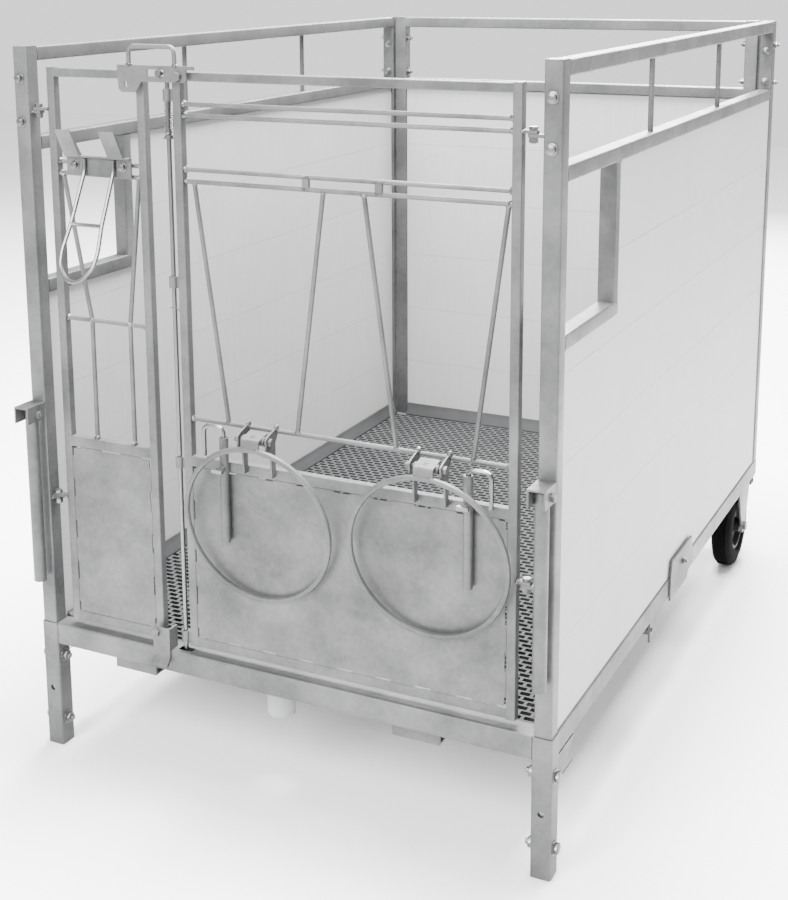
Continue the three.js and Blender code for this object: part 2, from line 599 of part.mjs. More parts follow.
function hookRod(i) {
  const x = HOOK_X[i];
  const side = x + HOOK_SIDE[i] * HOOK_REACH;
  const y = HOOK_Y;
  const corners = [[x, y, HOOK_TUBE_BOTTOM + 4], [x, y, HOOK_TOP[i]], [side, y, HOOK_TOP[i]],
    [side, y, HOOK_LEG_BOTTOM[i]]];
  return bentBar(corners, 11, HOOK_ROD_RADIUS, 40);
}

function thumbscrew(i) {
  const [x, z] = [HOOK_X[i], HOOK_SCREW_Z[i]];
  const tip = HOOK_Y - HOOK_ROD_RADIUS - 0.5;
  const shank = bar([x, tip, z], [x, HOOK_Y - 20, z], PIN_RADIUS - 1);
  const wing = box([x - 10, HOOK_Y - 26, z - 3], [x + 10, HOOK_Y - 18, z + 3]);
  return join(shank, wing, bar([x, HOOK_Y - 13 - GAP, z], [x, HOOK_Y - 20, z], 6, 12));
}

// ---- top latch and sprung drop rod ----
function latchLever() {
  const [back, left, right] = [LEVER_FRONT + 3, LEVER_LEFT, LEVER_RIGHT];
  const outline = [[LEVER_TOP, left], [LEVER_TOP, right],
    [LEVER_BOTTOM + 4, right], [LEVER_BOTTOM, right - 4],
    [LEVER_BOTTOM, left + 48], [LEVER_TAB_BOTTOM, left + 36], [LEVER_TAB_BOTTOM, left + 8],
    [LEVER_TAB_BOTTOM + 6, left + 2]];
  const hole = [LEVER_PIVOT_Z, LEVER_PIVOT_X, PIN_RADIUS + PIN_CLEARANCE];
  const body = plate(outline, 'y', LEVER_FRONT, back, [hole]);
  const slot = box([281, LEVER_FRONT - 1, 1263.5], [314, back + 1, 1274.5]);
  const eye = plate([[1244, 237], [1254, 234], [1254, 239], [1244, 242]], 'y', LEVER_FRONT - 1, back + 1);
  const middle = LEVER_FRONT + 1.5;
  const grip = bentBar([[245, middle, LEVER_TOP - 2], [245, middle, 1312], [335, middle, 1312],
    [335, middle, LEVER_TOP - 2]], 12, 4, 36);
  const tail = box([right - 2, LEVER_FRONT, LEVER_TOP - 6], [right + 15, back, LEVER_TOP]);
  return join(cut(body, slot, eye), grip, tail);
}

function dropRod() {
  const at = (z) => [ROD_X, DOOR_MIDDLE, z];
  const rod = bar(at(BASE_TOP + 0.6), at(ROD_TOP), ROD_RADIUS);
  const collar = bar(at(SPRING_BOTTOM - 4), at(SPRING_BOTTOM), 7.5);
  const pin = bar([ROD_X, DOOR_MIDDLE, ROD_PIN_Z], [ROD_X, LEVER_FRONT - 5, ROD_PIN_Z], 3.5);
  const head = bar([ROD_X, LEVER_FRONT - 6, ROD_PIN_Z], [ROD_X, LEVER_FRONT - 1, ROD_PIN_Z], 6.5, 6);
  return join(rod, collar, pin, head);
}

// The return spring, closed round the rod between the top guide and the rod's collar.
function rodSpring() {
  const outline = [[ROD_RADIUS + 0.6, 0], [7.2, 0], [7.2, SPRING_TOP - SPRING_BOTTOM - 1],
    [ROD_RADIUS + 0.6, SPRING_TOP - SPRING_BOTTOM - 1]];
  const sleeve = turned(outline, 20).rotateY(-Math.PI / 2);
  return sleeve.translate(ROD_X, DOOR_MIDDLE, SPRING_BOTTOM + 0.5);
}

// ---- bottle holder on the narrow gate ----
function bottleBracket() {
  const [front, back] = [HOLDER_Y, HOLDER_Y + 3];
  const face = box([HOLDER_LEFT, front, HOLDER_BOTTOM], [HOLDER_RIGHT, back, HOLDER_TOP]);
  const lip = box([HOLDER_LEFT, front - 6, HOLDER_TOP - 3], [HOLDER_RIGHT, back, HOLDER_TOP]);
  const arms = HOLDER_ARM_X.map((x) => {
    const arm = [[front - 3, HOLDER_TOP - 1], [front - 6, HOLDER_TOP - 2], [-23, HOLDER_TOP + 44],
      [-20, HOLDER_TOP + 46], [back, HOLDER_TOP - 1]];
    return plate(arm, 'x', x, x + HOLDER_ARM);
  });
  return join(face, lip, ...arms);
}

// The loop that carries the neck of a feeding bottle: it is welded to the bracket and leans outwards.
function bottleLoop() {
  const y = HOLDER_Y - LOOP_WIRE - GAP;
  const foldZ = HOLDER_BOTTOM + 8;
  const along = (x, run) => [x, y - run * Math.sin(LOOP_LEAN), foldZ - run * Math.cos(LOOP_LEAN)];
  const half = [[30, 0], [32, 95], [37, 142], [34, 168], [17, 190]];
  const left = half.map(([out, run]) => [LOOP_X - out, run]);
  const right = half.map(([out, run]) => [LOOP_X + out, run]).reverse();
  const bends = [...left, [LOOP_X, 196], ...right];
  const ends = [LOOP_X - 30, LOOP_X + 30].map((x) => [x, y, HOLDER_TOP - 5]);
  const corners = [ends[0], ...bends.map(([x, run]) => along(x, run)), ends[1]];
  const loop = bentBar(corners, 8, LOOP_WIRE, 56);
  const cross = bar(along(LOOP_X - 32, 95), along(LOOP_X + 32, 95), LOOP_WIRE);
  return join(loop, cross);
}

// ---- fold-down push handles ----
// A channel on the post with the handle's pivot bolt through it.
function handleBracket() {
  const [front, back] = [-HANDLE_BRACKET_DEPTH, -GAP];
  const [bottom, top] = [HANDLE_BRACKET_TOP - 30, HANDLE_BRACKET_TOP];
  const cheek = [[back, bottom + 6], [back, top], [front, top], [front, bottom], [-8, bottom]];
  const cheeks = [0, POST - 3].map((x) => plate(cheek, 'x', x, x + 3));
  const at = (x) => [x, HANDLE_Y, HANDLE_PIVOT_Z];
  const [head, nut] = [bar(at(-6), at(1), 7.5, 6), bar(at(POST - 1), at(POST + 7), 7.5, 6)];
  const pivot = [bar(at(1), at(POST + 9), PIN_RADIUS), head, nut];
  return join(...cheeks, ...pivot, box([0, front, top - 3], [POST, back, top]));
}

function pushHandle() {
  const x = POST / 2;
  const radius = 11.5;
  const at = (z) => [x, HANDLE_Y, z];
  const body = bar(at(HANDLE_BOTTOM), at(HANDLE_PIVOT_Z + 7), radius, 20);
  const bore = bar(at(HANDLE_BOTTOM - 1), at(HANDLE_PIVOT_Z + 8), radius - 2, 20);
  const ends = [-1, POST + 1].map((end) => [end, HANDLE_Y, HANDLE_PIVOT_Z]);
  const hole = bar(...ends, PIN_RADIUS + PIN_CLEARANCE);
  return cut(body, bore, hole);
}

// ---- fittings on the base ----
function linkPlate() {
  const bottom = BASE_BOTTOM - 4;
  const outline = [[682, bottom], [805, bottom], [850, 240], [843, 279], [690, 279], [682, 250]];
  return plate(outline, 'x', -PLATE - GAP, -GAP, [[770, 252, 6]]);
}

// The keeper in front of the narrow gate's free corner: its bolt stops the gate, its lip is bent outwards.
function gateStop() {
  const front = plate([[229, 250], [286, 250], [286, 285], [229, 285]], 'y', -PLATE, -GAP);
  const flange = box([281, -PLATE, BASE_TOP + GAP], [285, 22, 286]);
  const bent = [[-GAP, 233], [-PLATE, 233], [-14, 222], [-14, 218], [-11, 218], [-GAP, 229]];
  const lip = plate(bent, 'x', 250, 285);
  const bolt = bar([257, -PLATE - 6, 276], [257, DOOR_FRONT - GAP, 276], 4);
  const head = bar([257, -PLATE - 6, 276], [257, -PLATE + 1, 276], 8, 6);
  return join(front, flange, lip, bolt, head);
}

add('base_frame', baseFrame(), galvanised);
add('floor_grate', floorGrate(), grate);
add('drain_pan', drainPan(), panPlastic);
addPair('leg', leg(), galvanised);
add('front_post_left', frontPost(NARROW_HINGE_X), galvanised);
const rightPost = add('front_post_right', frontPost(WIDTH - MAIN_HINGE_X), galvanised);
rightPost.scale.x = -1;
rightPost.position.x = WIDTH;
addPair('rear_post', rearPost(), galvanised);
addPair('side_top_rail', sideTopRail(), galvanised);
addPair('side_mid_rail', sideRail(MID_RAIL_TOP), galvanised);
addPair('window_frame', windowFrame(), galvanised);
add('back_frame', backFrame(), galvanised);
addPair('side_boards', sideBoards(), board);
add('back_boards', backBoards(), board);
addPair('wheel_fork', wheelFork(), galvanised);
addPair('tyre', tyre(), rubber);
addPair('hub', hub(), rim);
addPair('handle_bracket', handleBracket(), galvanised);
addPair('push_handle', pushHandle(), galvanised);
addPair('link_plate', linkPlate(), galvanised);
add('gate_stop', gateStop(), galvanised);
['lower', 'upper'].forEach((level, i) => {
  add(`${level}_pin_left`, hingePin(NARROW_HINGE_X, HINGE_Z[i]), zinc);
  add(`${level}_pin_right`, hingePin(MAIN_HINGE_X, HINGE_Z[i]), zinc);
});

add('narrow_gate_frame', doorFrame(NARROW_LEFT, NARROW_RIGHT, NARROW_HINGE_X, []), galvanised);
add('narrow_gate_bars', narrowGateBars(), galvanised);
add('narrow_gate_sheet', doorSheet(NARROW_LEFT, NARROW_RIGHT), galvanised);
add('bottle_bracket', bottleBracket(), galvanised);
add('bottle_loop', bottleLoop(), zinc);

add('main_door_frame', mainDoorFrame(), galvanised);
add('main_door_sheet', doorSheet(MAIN_LEFT, MAIN_RIGHT), galvanised);
add('feed_rail', feedRail(), galvanised);
BUCKET_X.forEach((middle, i) => {
  const side = ['left', 'right'][i];
  add(`feed_bar_${side}_1`, feedBar(middle - V_TOP_HALF, middle - V_BOTTOM_HALF), galvanised);
  add(`feed_bar_${side}_2`, feedBar(middle + V_TOP_HALF, middle + V_BOTTOM_HALF), galvanised);
  add(`bucket_ring_${side}`, bucketRing(middle), galvanised);
  add(`clamp_tube_${side}`, clampTube(i), galvanised);
  add(`hook_rod_${side}`, hookRod(i), zinc);
  add(`thumbscrew_${side}`, thumbscrew(i), zinc);
});
add('bucket_rail', bucketRail(), galvanised);
add('latch_lever', latchLever(), galvanised);
add('drop_rod', dropRod(), zinc);
add('rod_spring', rodSpring(), zinc);

// The origin is the middle of the footprint, on the surface that the hutch stands on.
const bounds = new THREE.Box3().setFromObject(model);
const middle = bounds.getCenter(new THREE.Vector3());
model.position.set(-middle.x, -middle.y, -bounds.min.z);

const hutch = new THREE.Group();
hutch.add(model);

export default hutch;
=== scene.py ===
"""Looks of a mobile calf hutch: a galvanised pen with plank walls and a slatted floor on legs and wheels.

Places are given in millimetres from the lower front left corner of the pen's frame, with x to the right,
y to the back and z up from the ground, and are turned into the frame's metres when a mesh is made.
"""

import json
import math
import random

import bpy
from mathutils import Matrix, Vector


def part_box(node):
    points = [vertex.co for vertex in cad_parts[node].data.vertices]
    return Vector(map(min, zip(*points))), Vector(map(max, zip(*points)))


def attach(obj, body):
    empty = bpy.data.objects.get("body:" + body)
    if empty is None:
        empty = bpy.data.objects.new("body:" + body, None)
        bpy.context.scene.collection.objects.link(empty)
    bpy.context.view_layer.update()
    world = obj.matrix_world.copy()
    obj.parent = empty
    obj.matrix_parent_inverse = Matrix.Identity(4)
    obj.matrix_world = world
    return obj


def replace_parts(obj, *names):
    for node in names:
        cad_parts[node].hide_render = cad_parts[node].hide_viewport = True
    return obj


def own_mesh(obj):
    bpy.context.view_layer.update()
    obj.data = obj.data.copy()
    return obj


bl_info = {
    "name": "Calf hutch",
    "version": (1, 0, 0),
    "blender": (4, 5, 0),
    "location": "View3D > Sidebar > Calf hutch",
    "description": "Builds the looks of a mobile calf hutch round its frame",
    "category": "Object",
}

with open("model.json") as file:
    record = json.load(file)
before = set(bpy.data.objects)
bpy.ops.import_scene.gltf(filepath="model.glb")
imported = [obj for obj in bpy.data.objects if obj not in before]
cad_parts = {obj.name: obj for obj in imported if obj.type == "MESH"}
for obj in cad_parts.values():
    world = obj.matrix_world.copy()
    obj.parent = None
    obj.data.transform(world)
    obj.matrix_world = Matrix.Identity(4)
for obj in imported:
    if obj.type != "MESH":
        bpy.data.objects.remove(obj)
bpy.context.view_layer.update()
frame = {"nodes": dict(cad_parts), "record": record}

BASE_LOW, BASE_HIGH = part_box("base_frame")
ORIGIN = Vector((BASE_LOW.x, BASE_LOW.y, 0.0))
WIDTH = round((BASE_HIGH.x - BASE_LOW.x) * 1000)
LENGTH = round((BASE_HIGH.y - BASE_LOW.y) * 1000)
BASE_TOP = round(BASE_HIGH.z * 1000)
BASE_BOTTOM = round(BASE_LOW.z * 1000)
POST = 30  # square posts
MID_RAIL_BOTTOM = 1126
TOP_RAIL_TOP = 1307
SILL_BOTTOM = 869
WINDOW_BACK = 293

WALL_GAP = 0.4  # between the planks and the frame that holds them
BACK_WALL_LEFT = 65.4
BACK_CORE_LEFT = 66
PLANK = 20  # thickness of a wall
CORE_INSET = 7  # a core inside each wall closes the lines between its planks
CORE_GAP = 1

FLOOR_SKIN = 7  # thickness of the slotted top of the floor
JOIST = 6  # ribs that carry it
JOISTS = 9
JOIST_START = 60
STRIP_FACE = 28  # outer face of an edge strip, from the frame's outer face
STRIP_TOP = 276
STRIP_LOW_END = 245  # the side strips stay low up to here, since the gate swings in over the floor
BACK_STRIP_LEFT = 68

FRONT_BOLT_X = (13, WIDTH - 16)
FRONT_BOLT_Z = (1252, 1177)
REAR_BOLT_Z = (1252, 1166)
BACK_BOLT_Z = (1238, 1168)  # front faces of the rear posts
BACK_POST_INSIDE = 65
LEG_BOLT_Z = (177, 51)
LEG_PLUG_Z = 114
LINK_BOLT = (768, 253)
LUG_Z = (494, 1198)  # welded ends of the hinge lugs on the front posts

DOOR_MIDDLE = 18  # centre plane of both doors
DOOR_FRONT = 10
DOOR_TUBE = 16
MAIN = (320, 934)  # outer faces of a door's stiles
NARROW = (62, 264)
SHEET_BOTTOM, SHEET_TOP = 277.3, 593.7
TAB_PITCH = 75
TAB_HALF = 22
SLIT = 2.6
UPPER_BARS = (1199, 1218)
FEED_BARS = (1090, 1110)
FEED_TIE_X = (565, 695)
BUCKET_BAR = 679
BUCKETS = (("left", 475), ("right", 790))  # middle of each bucket ring
GATE_CROSS = 831
DOOR_LUG_Z = (1200, 496)
GUIDE_Z = (1222, 906, 586, 262)  # guides of the drop rod
CLAMP = ((407, 640), (855, 640))  # clamp tubes of the hook rods
HOLDER_X = (110, 228)
HOLDER_BOLTS = ((119, 1107), (218, 1108))
ROD_X = 306
SPRING = (1165.4, 1221.4)
COIL_RADIUS = 6.2
COIL_TURNS = 15

WHEEL_X = 41  # centre plane of a wheel, from the outer face
AXLE_Y, AXLE_Z = 1395, 100
TYRE_RADIUS = 99.8
TYRE_HALF = 23.8
RIM_RADIUS = 58.4
GROOVES = (11, 4, -4, -11)

CAMERA_PLACE = (1695.1, -1998.4, 1443.2)
CAMERA_TURN = (26.362, 11.473, -0.358)  # yaw, pitch and roll in degrees
CAMERA_LENS = 58.54
CAMERA_SHIFT = (0.0156, -0.2111)

MIX_FIRST, MIX_SECOND, MIX_RESULT = 6, 7, 2  # colour sockets of a Mix node


def metres(x, y, z):
    """A place in the frame's metres from one in millimetres off the pen's front left corner."""
    return Vector((x, y, z)) / 1000 + ORIGIN


# ---- meshes ----


class Shape:
    """Collects closed solids, given in millimetres, into one mesh."""

    def __init__(self):
        self.points = []
        self.faces = []

    def add(self, points, faces):
        first = len(self.points)
        self.points += [tuple(p) for p in points]
        self.faces += [tuple(first + i for i in face) for face in faces]

    def box(self, low, high):
        """A block between two opposite corners."""
        (x0, y0, z0), (x1, y1, z1) = low, high
        corners = [(x, y, z) for z in (z0, z1) for y in (y0, y1) for x in (x0, x1)]
        sides = [(0, 2, 3, 1), (4, 5, 7, 6), (0, 1, 5, 4), (2, 6, 7, 3), (0, 4, 6, 2), (1, 3, 7, 5)]
        self.add(corners, sides)

    def prism(self, outline, axis, start, end):
        """An outline in the plane across x, y or z, thickened from start to end."""
        def place(a, b, along):
            return {"x": (along, a, b), "y": (a, along, b), "z": (a, b, along)}[axis]

        area = sum(p[0] * q[1] - q[0] * p[1] for p, q in zip(outline, outline[1:] + outline[:1]))
        if (area > 0) == (axis == "y"):
            outline = outline[::-1]
        n = len(outline)
        points = [place(a, b, start) for a, b in outline] + [place(a, b, end) for a, b in outline]
        sides = [(i, (i + 1) % n, n + (i + 1) % n, n + i) for i in range(n)]
        self.add(points, [tuple(range(n))[::-1], tuple(range(n, 2 * n))] + sides)

    def path(self, places, radius, sides=12, closed=False):
        """A round bar through a list of places."""
        places = [Vector(p) for p in places]
        n = len(places)
        rings = []
        side = None
        for i, place in enumerate(places):
            after = places[(i + 1) % n] if closed or i < n - 1 else place
            before = places[i - 1] if closed or i > 0 else place
            run = (after - before).normalized()
            if side is None:
                side = run.orthogonal().normalized()
            side = (side - run * side.dot(run)).normalized()
            up = run.cross(side)
            rings.append([place + radius * (math.cos(a) * side + math.sin(a) * up)
                          for a in (2 * math.pi * k / sides for k in range(sides))])
        points = [p for ring in rings for p in ring]
        faces = []
        for i in range(n if closed else n - 1):
            a, b = i * sides, (i + 1) % n * sides
            faces += [(a + k, a + (k + 1) % sides, b + (k + 1) % sides, b + k) for k in range(sides)]
        if not closed:
            faces.append(tuple(range(sides))[::-1])
            faces.append(tuple(range((n - 1) * sides, n * sides)))
        self.add(points, faces)

    def rod(self, start, end, radius, sides=20):
        """A straight round bar."""
        self.path([start, end], radius, sides)

    def turned(self, outline, centre, axis, sides=48):
        """An outline of (radius, along) places, closed on itself, turned about a line through centre."""
        axis = Vector(axis).normalized()
        side = axis.orthogonal().normalized()
        up = axis.cross(side)
        n = len(outline)
        points = []
        for k in range(sides):
            a = 2 * math.pi * k / sides
            out = math.cos(a) * side + math.sin(a) * up
            points += [Vector(centre) + out * r + axis * along for r, along in outline]
        faces = []
        for k in range(sides):
            a, b = k * n, (k + 1) % sides * n
            faces += [(a + i, a + (i + 1) % n, b + (i + 1) % n, b + i) for i in range(n)]
        self.add(points, faces)

    def bolt(self, place, axis, across=13, height=5.5, tail=0):
        """A hexagon on its washer, standing on a surface; a tail is the end of the thread past a nut."""
        place, axis = Vector(place), Vector(axis).normalized()
        foot = place + axis * 1.6
        self.rod(place + axis * 0.05, place + axis * 1.5, across * 0.72, 24)
        self.rod(foot, foot + axis * height, across / math.sqrt(3), 6)
        self.rod(foot + axis * (height + 0.01), foot + axis * (height + 0.7), across * 0.42, 20)
        if tail:
            self.rod(foot + axis * (height + 0.75), foot + axis * (height + tail), across * 0.29, 14)

    def bead(self, place, radius, seed):
        """A small uneven lump of weld metal."""
        noise = random.Random(seed)
        rows, columns = 6, 9
        stretch = [1 + noise.uniform(-0.15, 0.2) for _ in range(3)]
        points = [Vector((0, 0, radius))]
        for i in range(1, rows):
            t = math.pi * i / rows
            for k in range(columns):
                a = 2 * math.pi * (k + 0.5 * (i % 2)) / columns
                r = radius * (1 + noise.uniform(-0.1, 0.12))
                out = r * math.sin(t)
                points.append(Vector((out * math.cos(a), out * math.sin(a), r * math.cos(t))))
        points.append(Vector((0, 0, -radius)))
        last = len(points) - 1
        faces = [(0, 1 + k, 1 + (k + 1) % columns) for k in range(columns)]
        for i in range(rows - 2):
            a, b = 1 + i * columns, 1 + (i + 1) * columns
            for k in range(columns):
                faces.append((a + k, b + k, b + (k + 1) % columns, a + (k + 1) % columns))
        a = 1 + (rows - 2) * columns
        faces += [(last, a + (k + 1) % columns, a + k) for k in range(columns)]
        self.add([Vector(place) + Vector([c * s for c, s in zip(p, stretch)]) for p in points], faces)

    def made(self, name, body, slot, material, smooth=40, bevel=0.0):
        """The mesh as an object that rides on a body of the frame."""
        mesh = bpy.data.meshes.new(name)
        mesh.from_pydata([metres(*p) for p in self.points], [], self.faces)
        mesh.validate()
        mesh.update()
        piece = bpy.data.objects.new(name, mesh)
        bpy.context.scene.collection.objects.link(piece)
        soften(piece, smooth, bevel)
        mesh.materials.append(material)
        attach(piece, body)
        return piece


def soften(piece, smooth, bevel=0.0):
    """Smooth shading up to an angle between faces, over a small bevel."""
    mesh = piece.data
    for face in mesh.polygons:
        face.use_smooth = True
    if bevel:
        edges = piece.modifiers.new("Rounded edges", "BEVEL")
        edges.width = bevel / 1000
        edges.segments = 2
        edges.limit_method = "ANGLE"
        edges.angle_limit = math.radians(50)
        edges.use_clamp_overlap = True
    split = piece.modifiers.new("Crisp edges", "EDGE_SPLIT")
    split.split_angle = math.radians(smooth)


# ---- materials ----


def new_group(name, inputs, outputs):
    """A shader node group with its own named sockets."""
    group = bpy.data.node_groups.new(name, "ShaderNodeTree")
    for label, kind, default in inputs:
        socket = group.interface.new_socket(name=label, in_out="INPUT", socket_type=kind)
        socket.default_value = default
    for label, kind in outputs:
        group.interface.new_socket(name=label, in_out="OUTPUT", socket_type=kind)
    return group, group.nodes.new("NodeGroupInput"), group.nodes.new("NodeGroupOutput")


def node(tree, kind, values=(), **settings):
    """A new node with its settings and the values of its unlinked inputs."""
    made = tree.nodes.new(kind)
    for name, value in settings.items():
        setattr(made, name, value)
    for socket, value in dict(values).items():
        made.inputs[socket].default_value = value
    return made


def ramp(tree, stops):
    """A colour ramp of greys, from (position, value) stops."""
    made = tree.nodes.new("ShaderNodeValToRGB")
    elements = made.color_ramp.elements
    elements[0].position, elements[0].color = stops[0][0], (*[stops[0][1]] * 3, 1)
    elements[1].position, elements[1].color = stops[-1][0], (*[stops[-1][1]] * 3, 1)
    for position, value in stops[1:-1]:
        elements.new(position).color = (*[value] * 3, 1)
    return made


def zinc_bloom_group():
    """Grey patches of a zinc coat: large clouds, small crystals and fine grain."""
    group, given, out = new_group(
        "Zinc bloom",
        [("Light", "NodeSocketColor", (0.6, 0.6, 0.6, 1)), ("Dark", "NodeSocketColor", (0.4, 0.4, 0.4, 1)),
         ("Crystal size", "NodeSocketFloat", 60.0), ("Cloud size", "NodeSocketFloat", 7.0)],
        [("Color", "NodeSocketColor"), ("Roughness", "NodeSocketFloat"), ("Height", "NodeSocketFloat")],
    )
    link = group.links.new
    place = node(group, "ShaderNodeTexCoord")
    cells = node(group, "ShaderNodeTexVoronoi", {"Randomness": 1.0})
    cells.feature = "F1"
    clouds = node(group, "ShaderNodeTexNoise", {"Detail": 4.0, "Roughness": 0.6})
    grain = node(group, "ShaderNodeTexNoise", {"Scale": 900.0, "Detail": 2.0})
    link(place.outputs["Object"], cells.inputs["Vector"])
    link(place.outputs["Object"], clouds.inputs["Vector"])
    link(place.outputs["Object"], grain.inputs["Vector"])
    link(given.outputs["Crystal size"], cells.inputs["Scale"])
    link(given.outputs["Cloud size"], clouds.inputs["Scale"])
    grey = node(group, "ShaderNodeRGBToBW")
    link(cells.outputs["Color"], grey.inputs["Color"])
    crystal = node(group, "ShaderNodeMath", {1: 0.16}, operation="MULTIPLY")
    link(grey.outputs["Val"], crystal.inputs[0])
    cloud = ramp(group, [(0.3, 0.1), (0.7, 0.75)])
    link(clouds.outputs["Fac"], cloud.inputs["Fac"])
    both = node(group, "ShaderNodeMath", operation="ADD", use_clamp=True)
    link(crystal.outputs[0], both.inputs[0])
    link(cloud.outputs["Color"], both.inputs[1])
    blend = node(group, "ShaderNodeMix", data_type="RGBA")
    link(both.outputs[0], blend.inputs[0])
    link(given.outputs["Light"], blend.inputs[MIX_FIRST])
    link(given.outputs["Dark"], blend.inputs[MIX_SECOND])
    link(blend.outputs[MIX_RESULT], out.inputs["Color"])
    rough = node(group, "ShaderNodeMapRange", {"To Min": 0.4, "To Max": 0.6})
    link(both.outputs[0], rough.inputs["Value"])
    link(rough.outputs["Result"], out.inputs["Roughness"])
    link(grain.outputs["Fac"], out.inputs["Height"])
    return group


def soil_group():
    """A mask of soft blotches."""
    group, given, out = new_group(
        "Yard dust",
        [("Blotch size", "NodeSocketFloat", 9.0), ("Amount", "NodeSocketFloat", 0.3)],
        [("Mask", "NodeSocketFloat")],
    )
    link = group.links.new
    place = node(group, "ShaderNodeTexCoord")
    blotch = node(group, "ShaderNodeTexNoise", {"Detail": 5.0, "Roughness": 0.65})
    link(place.outputs["Object"], blotch.inputs["Vector"])
    link(given.outputs["Blotch size"], blotch.inputs["Scale"])
    shape = ramp(group, [(0.42, 0.0), (0.72, 1.0)])
    link(blotch.outputs["Fac"], shape.inputs["Fac"])
    scaled = node(group, "ShaderNodeMath", operation="MULTIPLY", use_clamp=True)
    link(shape.outputs["Color"], scaled.inputs[0])
    link(given.outputs["Amount"], scaled.inputs[1])
    link(scaled.outputs[0], out.inputs["Mask"])
    return group


def new_material(name, metallic, specular=0.5):
    """A material with its node tree and its Principled shader."""
    material = bpy.data.materials.new(name)
    material.use_nodes = True
    shader = material.node_tree.nodes["Principled BSDF"]
    shader.inputs["Metallic"].default_value = metallic
    shader.inputs["Specular IOR Level"].default_value = specular
    return material, material.node_tree, shader


def bump(tree, shader, height, strength, distance):
    """Fine relief from a height socket."""
    made = node(tree, "ShaderNodeBump", {"Strength": strength, "Distance": distance})
    tree.links.new(height, made.inputs["Height"])
    tree.links.new(made.outputs["Normal"], shader.inputs["Normal"])


def zinc_material(name, light, dark, metallic, crystal, cloud, roughness=None):
    """A zinc coat on steel, from dull hot dip to bright plate."""
    material, tree, shader = new_material(name, metallic)
    bloom = node(tree, "ShaderNodeGroup", node_tree=bpy.data.node_groups["Zinc bloom"])
    bloom.inputs["Light"].default_value = (*light, 1)
    bloom.inputs["Dark"].default_value = (*dark, 1)
    bloom.inputs["Crystal size"].default_value = crystal
    bloom.inputs["Cloud size"].default_value = cloud
    tree.links.new(bloom.outputs["Color"], shader.inputs["Base Color"])
    if roughness is None:
        tree.links.new(bloom.outputs["Roughness"], shader.inputs["Roughness"])
    else:
        shader.inputs["Roughness"].default_value = roughness
    bump(tree, shader, bloom.outputs["Height"], 0.12, 0.0004)
    return material


def plastic_material(name, color, soiled, amount, roughness, stretch=(1, 1, 1), grain=60.0, relief=0.1,
                     specular=0.4):
    """Moulded or extruded plastic, with faint soil."""
    material, tree, shader = new_material(name, 0.0, specular)
    link = tree.links.new
    dust = node(tree, "ShaderNodeGroup", node_tree=bpy.data.node_groups["Yard dust"])
    dust.inputs["Amount"].default_value = amount
    blend = node(tree, "ShaderNodeMix", data_type="RGBA")
    blend.inputs[MIX_FIRST].default_value = (*color, 1)
    blend.inputs[MIX_SECOND].default_value = (*soiled, 1)
    link(dust.outputs["Mask"], blend.inputs[0])
    place = node(tree, "ShaderNodeTexCoord")
    scale = node(tree, "ShaderNodeMapping", {"Scale": stretch})
    streak = node(tree, "ShaderNodeTexNoise", {"Scale": grain, "Detail": 3.0})
    link(place.outputs["Object"], scale.inputs["Vector"])
    link(scale.outputs["Vector"], streak.inputs["Vector"])
    tint = ramp(tree, [(0.3, 0.93), (0.7, 1.0)])
    link(streak.outputs["Fac"], tint.inputs["Fac"])
    shade = node(tree, "ShaderNodeMix", {0: 1.0}, data_type="RGBA", blend_type="MULTIPLY")
    link(blend.outputs[MIX_RESULT], shade.inputs[MIX_FIRST])
    link(tint.outputs["Color"], shade.inputs[MIX_SECOND])
    link(shade.outputs[MIX_RESULT], shader.inputs["Base Color"])
    level = node(tree, "ShaderNodeMapRange", {"To Min": roughness - 0.06, "To Max": roughness + 0.08})
    link(streak.outputs["Fac"], level.inputs["Value"])
    link(level.outputs["Result"], shader.inputs["Roughness"])
    bump(tree, shader, streak.outputs["Fac"], relief, 0.0006)
    return material


def stage_material():
    """The pale ground that the pen stands on."""
    material, tree, shader = new_material("Pale studio floor", 0.0, 0.2)
    place = node(tree, "ShaderNodeTexCoord")
    haze = node(tree, "ShaderNodeTexNoise", {"Scale": 1.5, "Detail": 2.0})
    tree.links.new(place.outputs["Object"], haze.inputs["Vector"])
    tone = ramp(tree, [(0.3, 0.87), (0.7, 0.9)])
    tree.links.new(haze.outputs["Fac"], tone.inputs["Fac"])
    tree.links.new(tone.outputs["Color"], shader.inputs["Base Color"])
    shader.inputs["Roughness"].default_value = 0.9
    return material


def material(name):
    return bpy.data.materials[name]


# ---- settings ----


class FinishSettings(bpy.types.PropertyGroup):
    """Colours of the finishes."""

    zinc_light: bpy.props.FloatVectorProperty(
        name="Zinc, light", description="Light patches of the dull zinc coat", subtype="COLOR", size=3,
        min=0, max=1, default=(0.125, 0.126, 0.128))
    zinc_dark: bpy.props.FloatVectorProperty(
        name="Zinc, dark", description="Dark patches of the dull zinc coat", subtype="COLOR", size=3,
        min=0, max=1, default=(0.036, 0.037, 0.038))
    board: bpy.props.FloatVectorProperty(
        name="Wall planks", description="Colour of the plastic planks", subtype="COLOR", size=3,
        min=0, max=1, default=(0.37, 0.37, 0.367))
    floor: bpy.props.FloatVectorProperty(
        name="Slatted floor", description="Colour of the plastic floor", subtype="COLOR", size=3,
        min=0, max=1, default=(0.045, 0.046, 0.047))


class WallSettings(bpy.types.PropertyGroup):
    """The plank walls."""

    planks: bpy.props.IntProperty(
        name="Planks", description="Planks in the height of a wall", default=6, min=1)
    joint: bpy.props.FloatProperty(
        name="Joint", description="Width of the open line between two planks, in millimetres",
        default=0.5, min=0.2)
    recess: bpy.props.FloatProperty(
        name="Recess", description="How far the planks lie inside the frame's outer face, in millimetres",
        default=3.0)


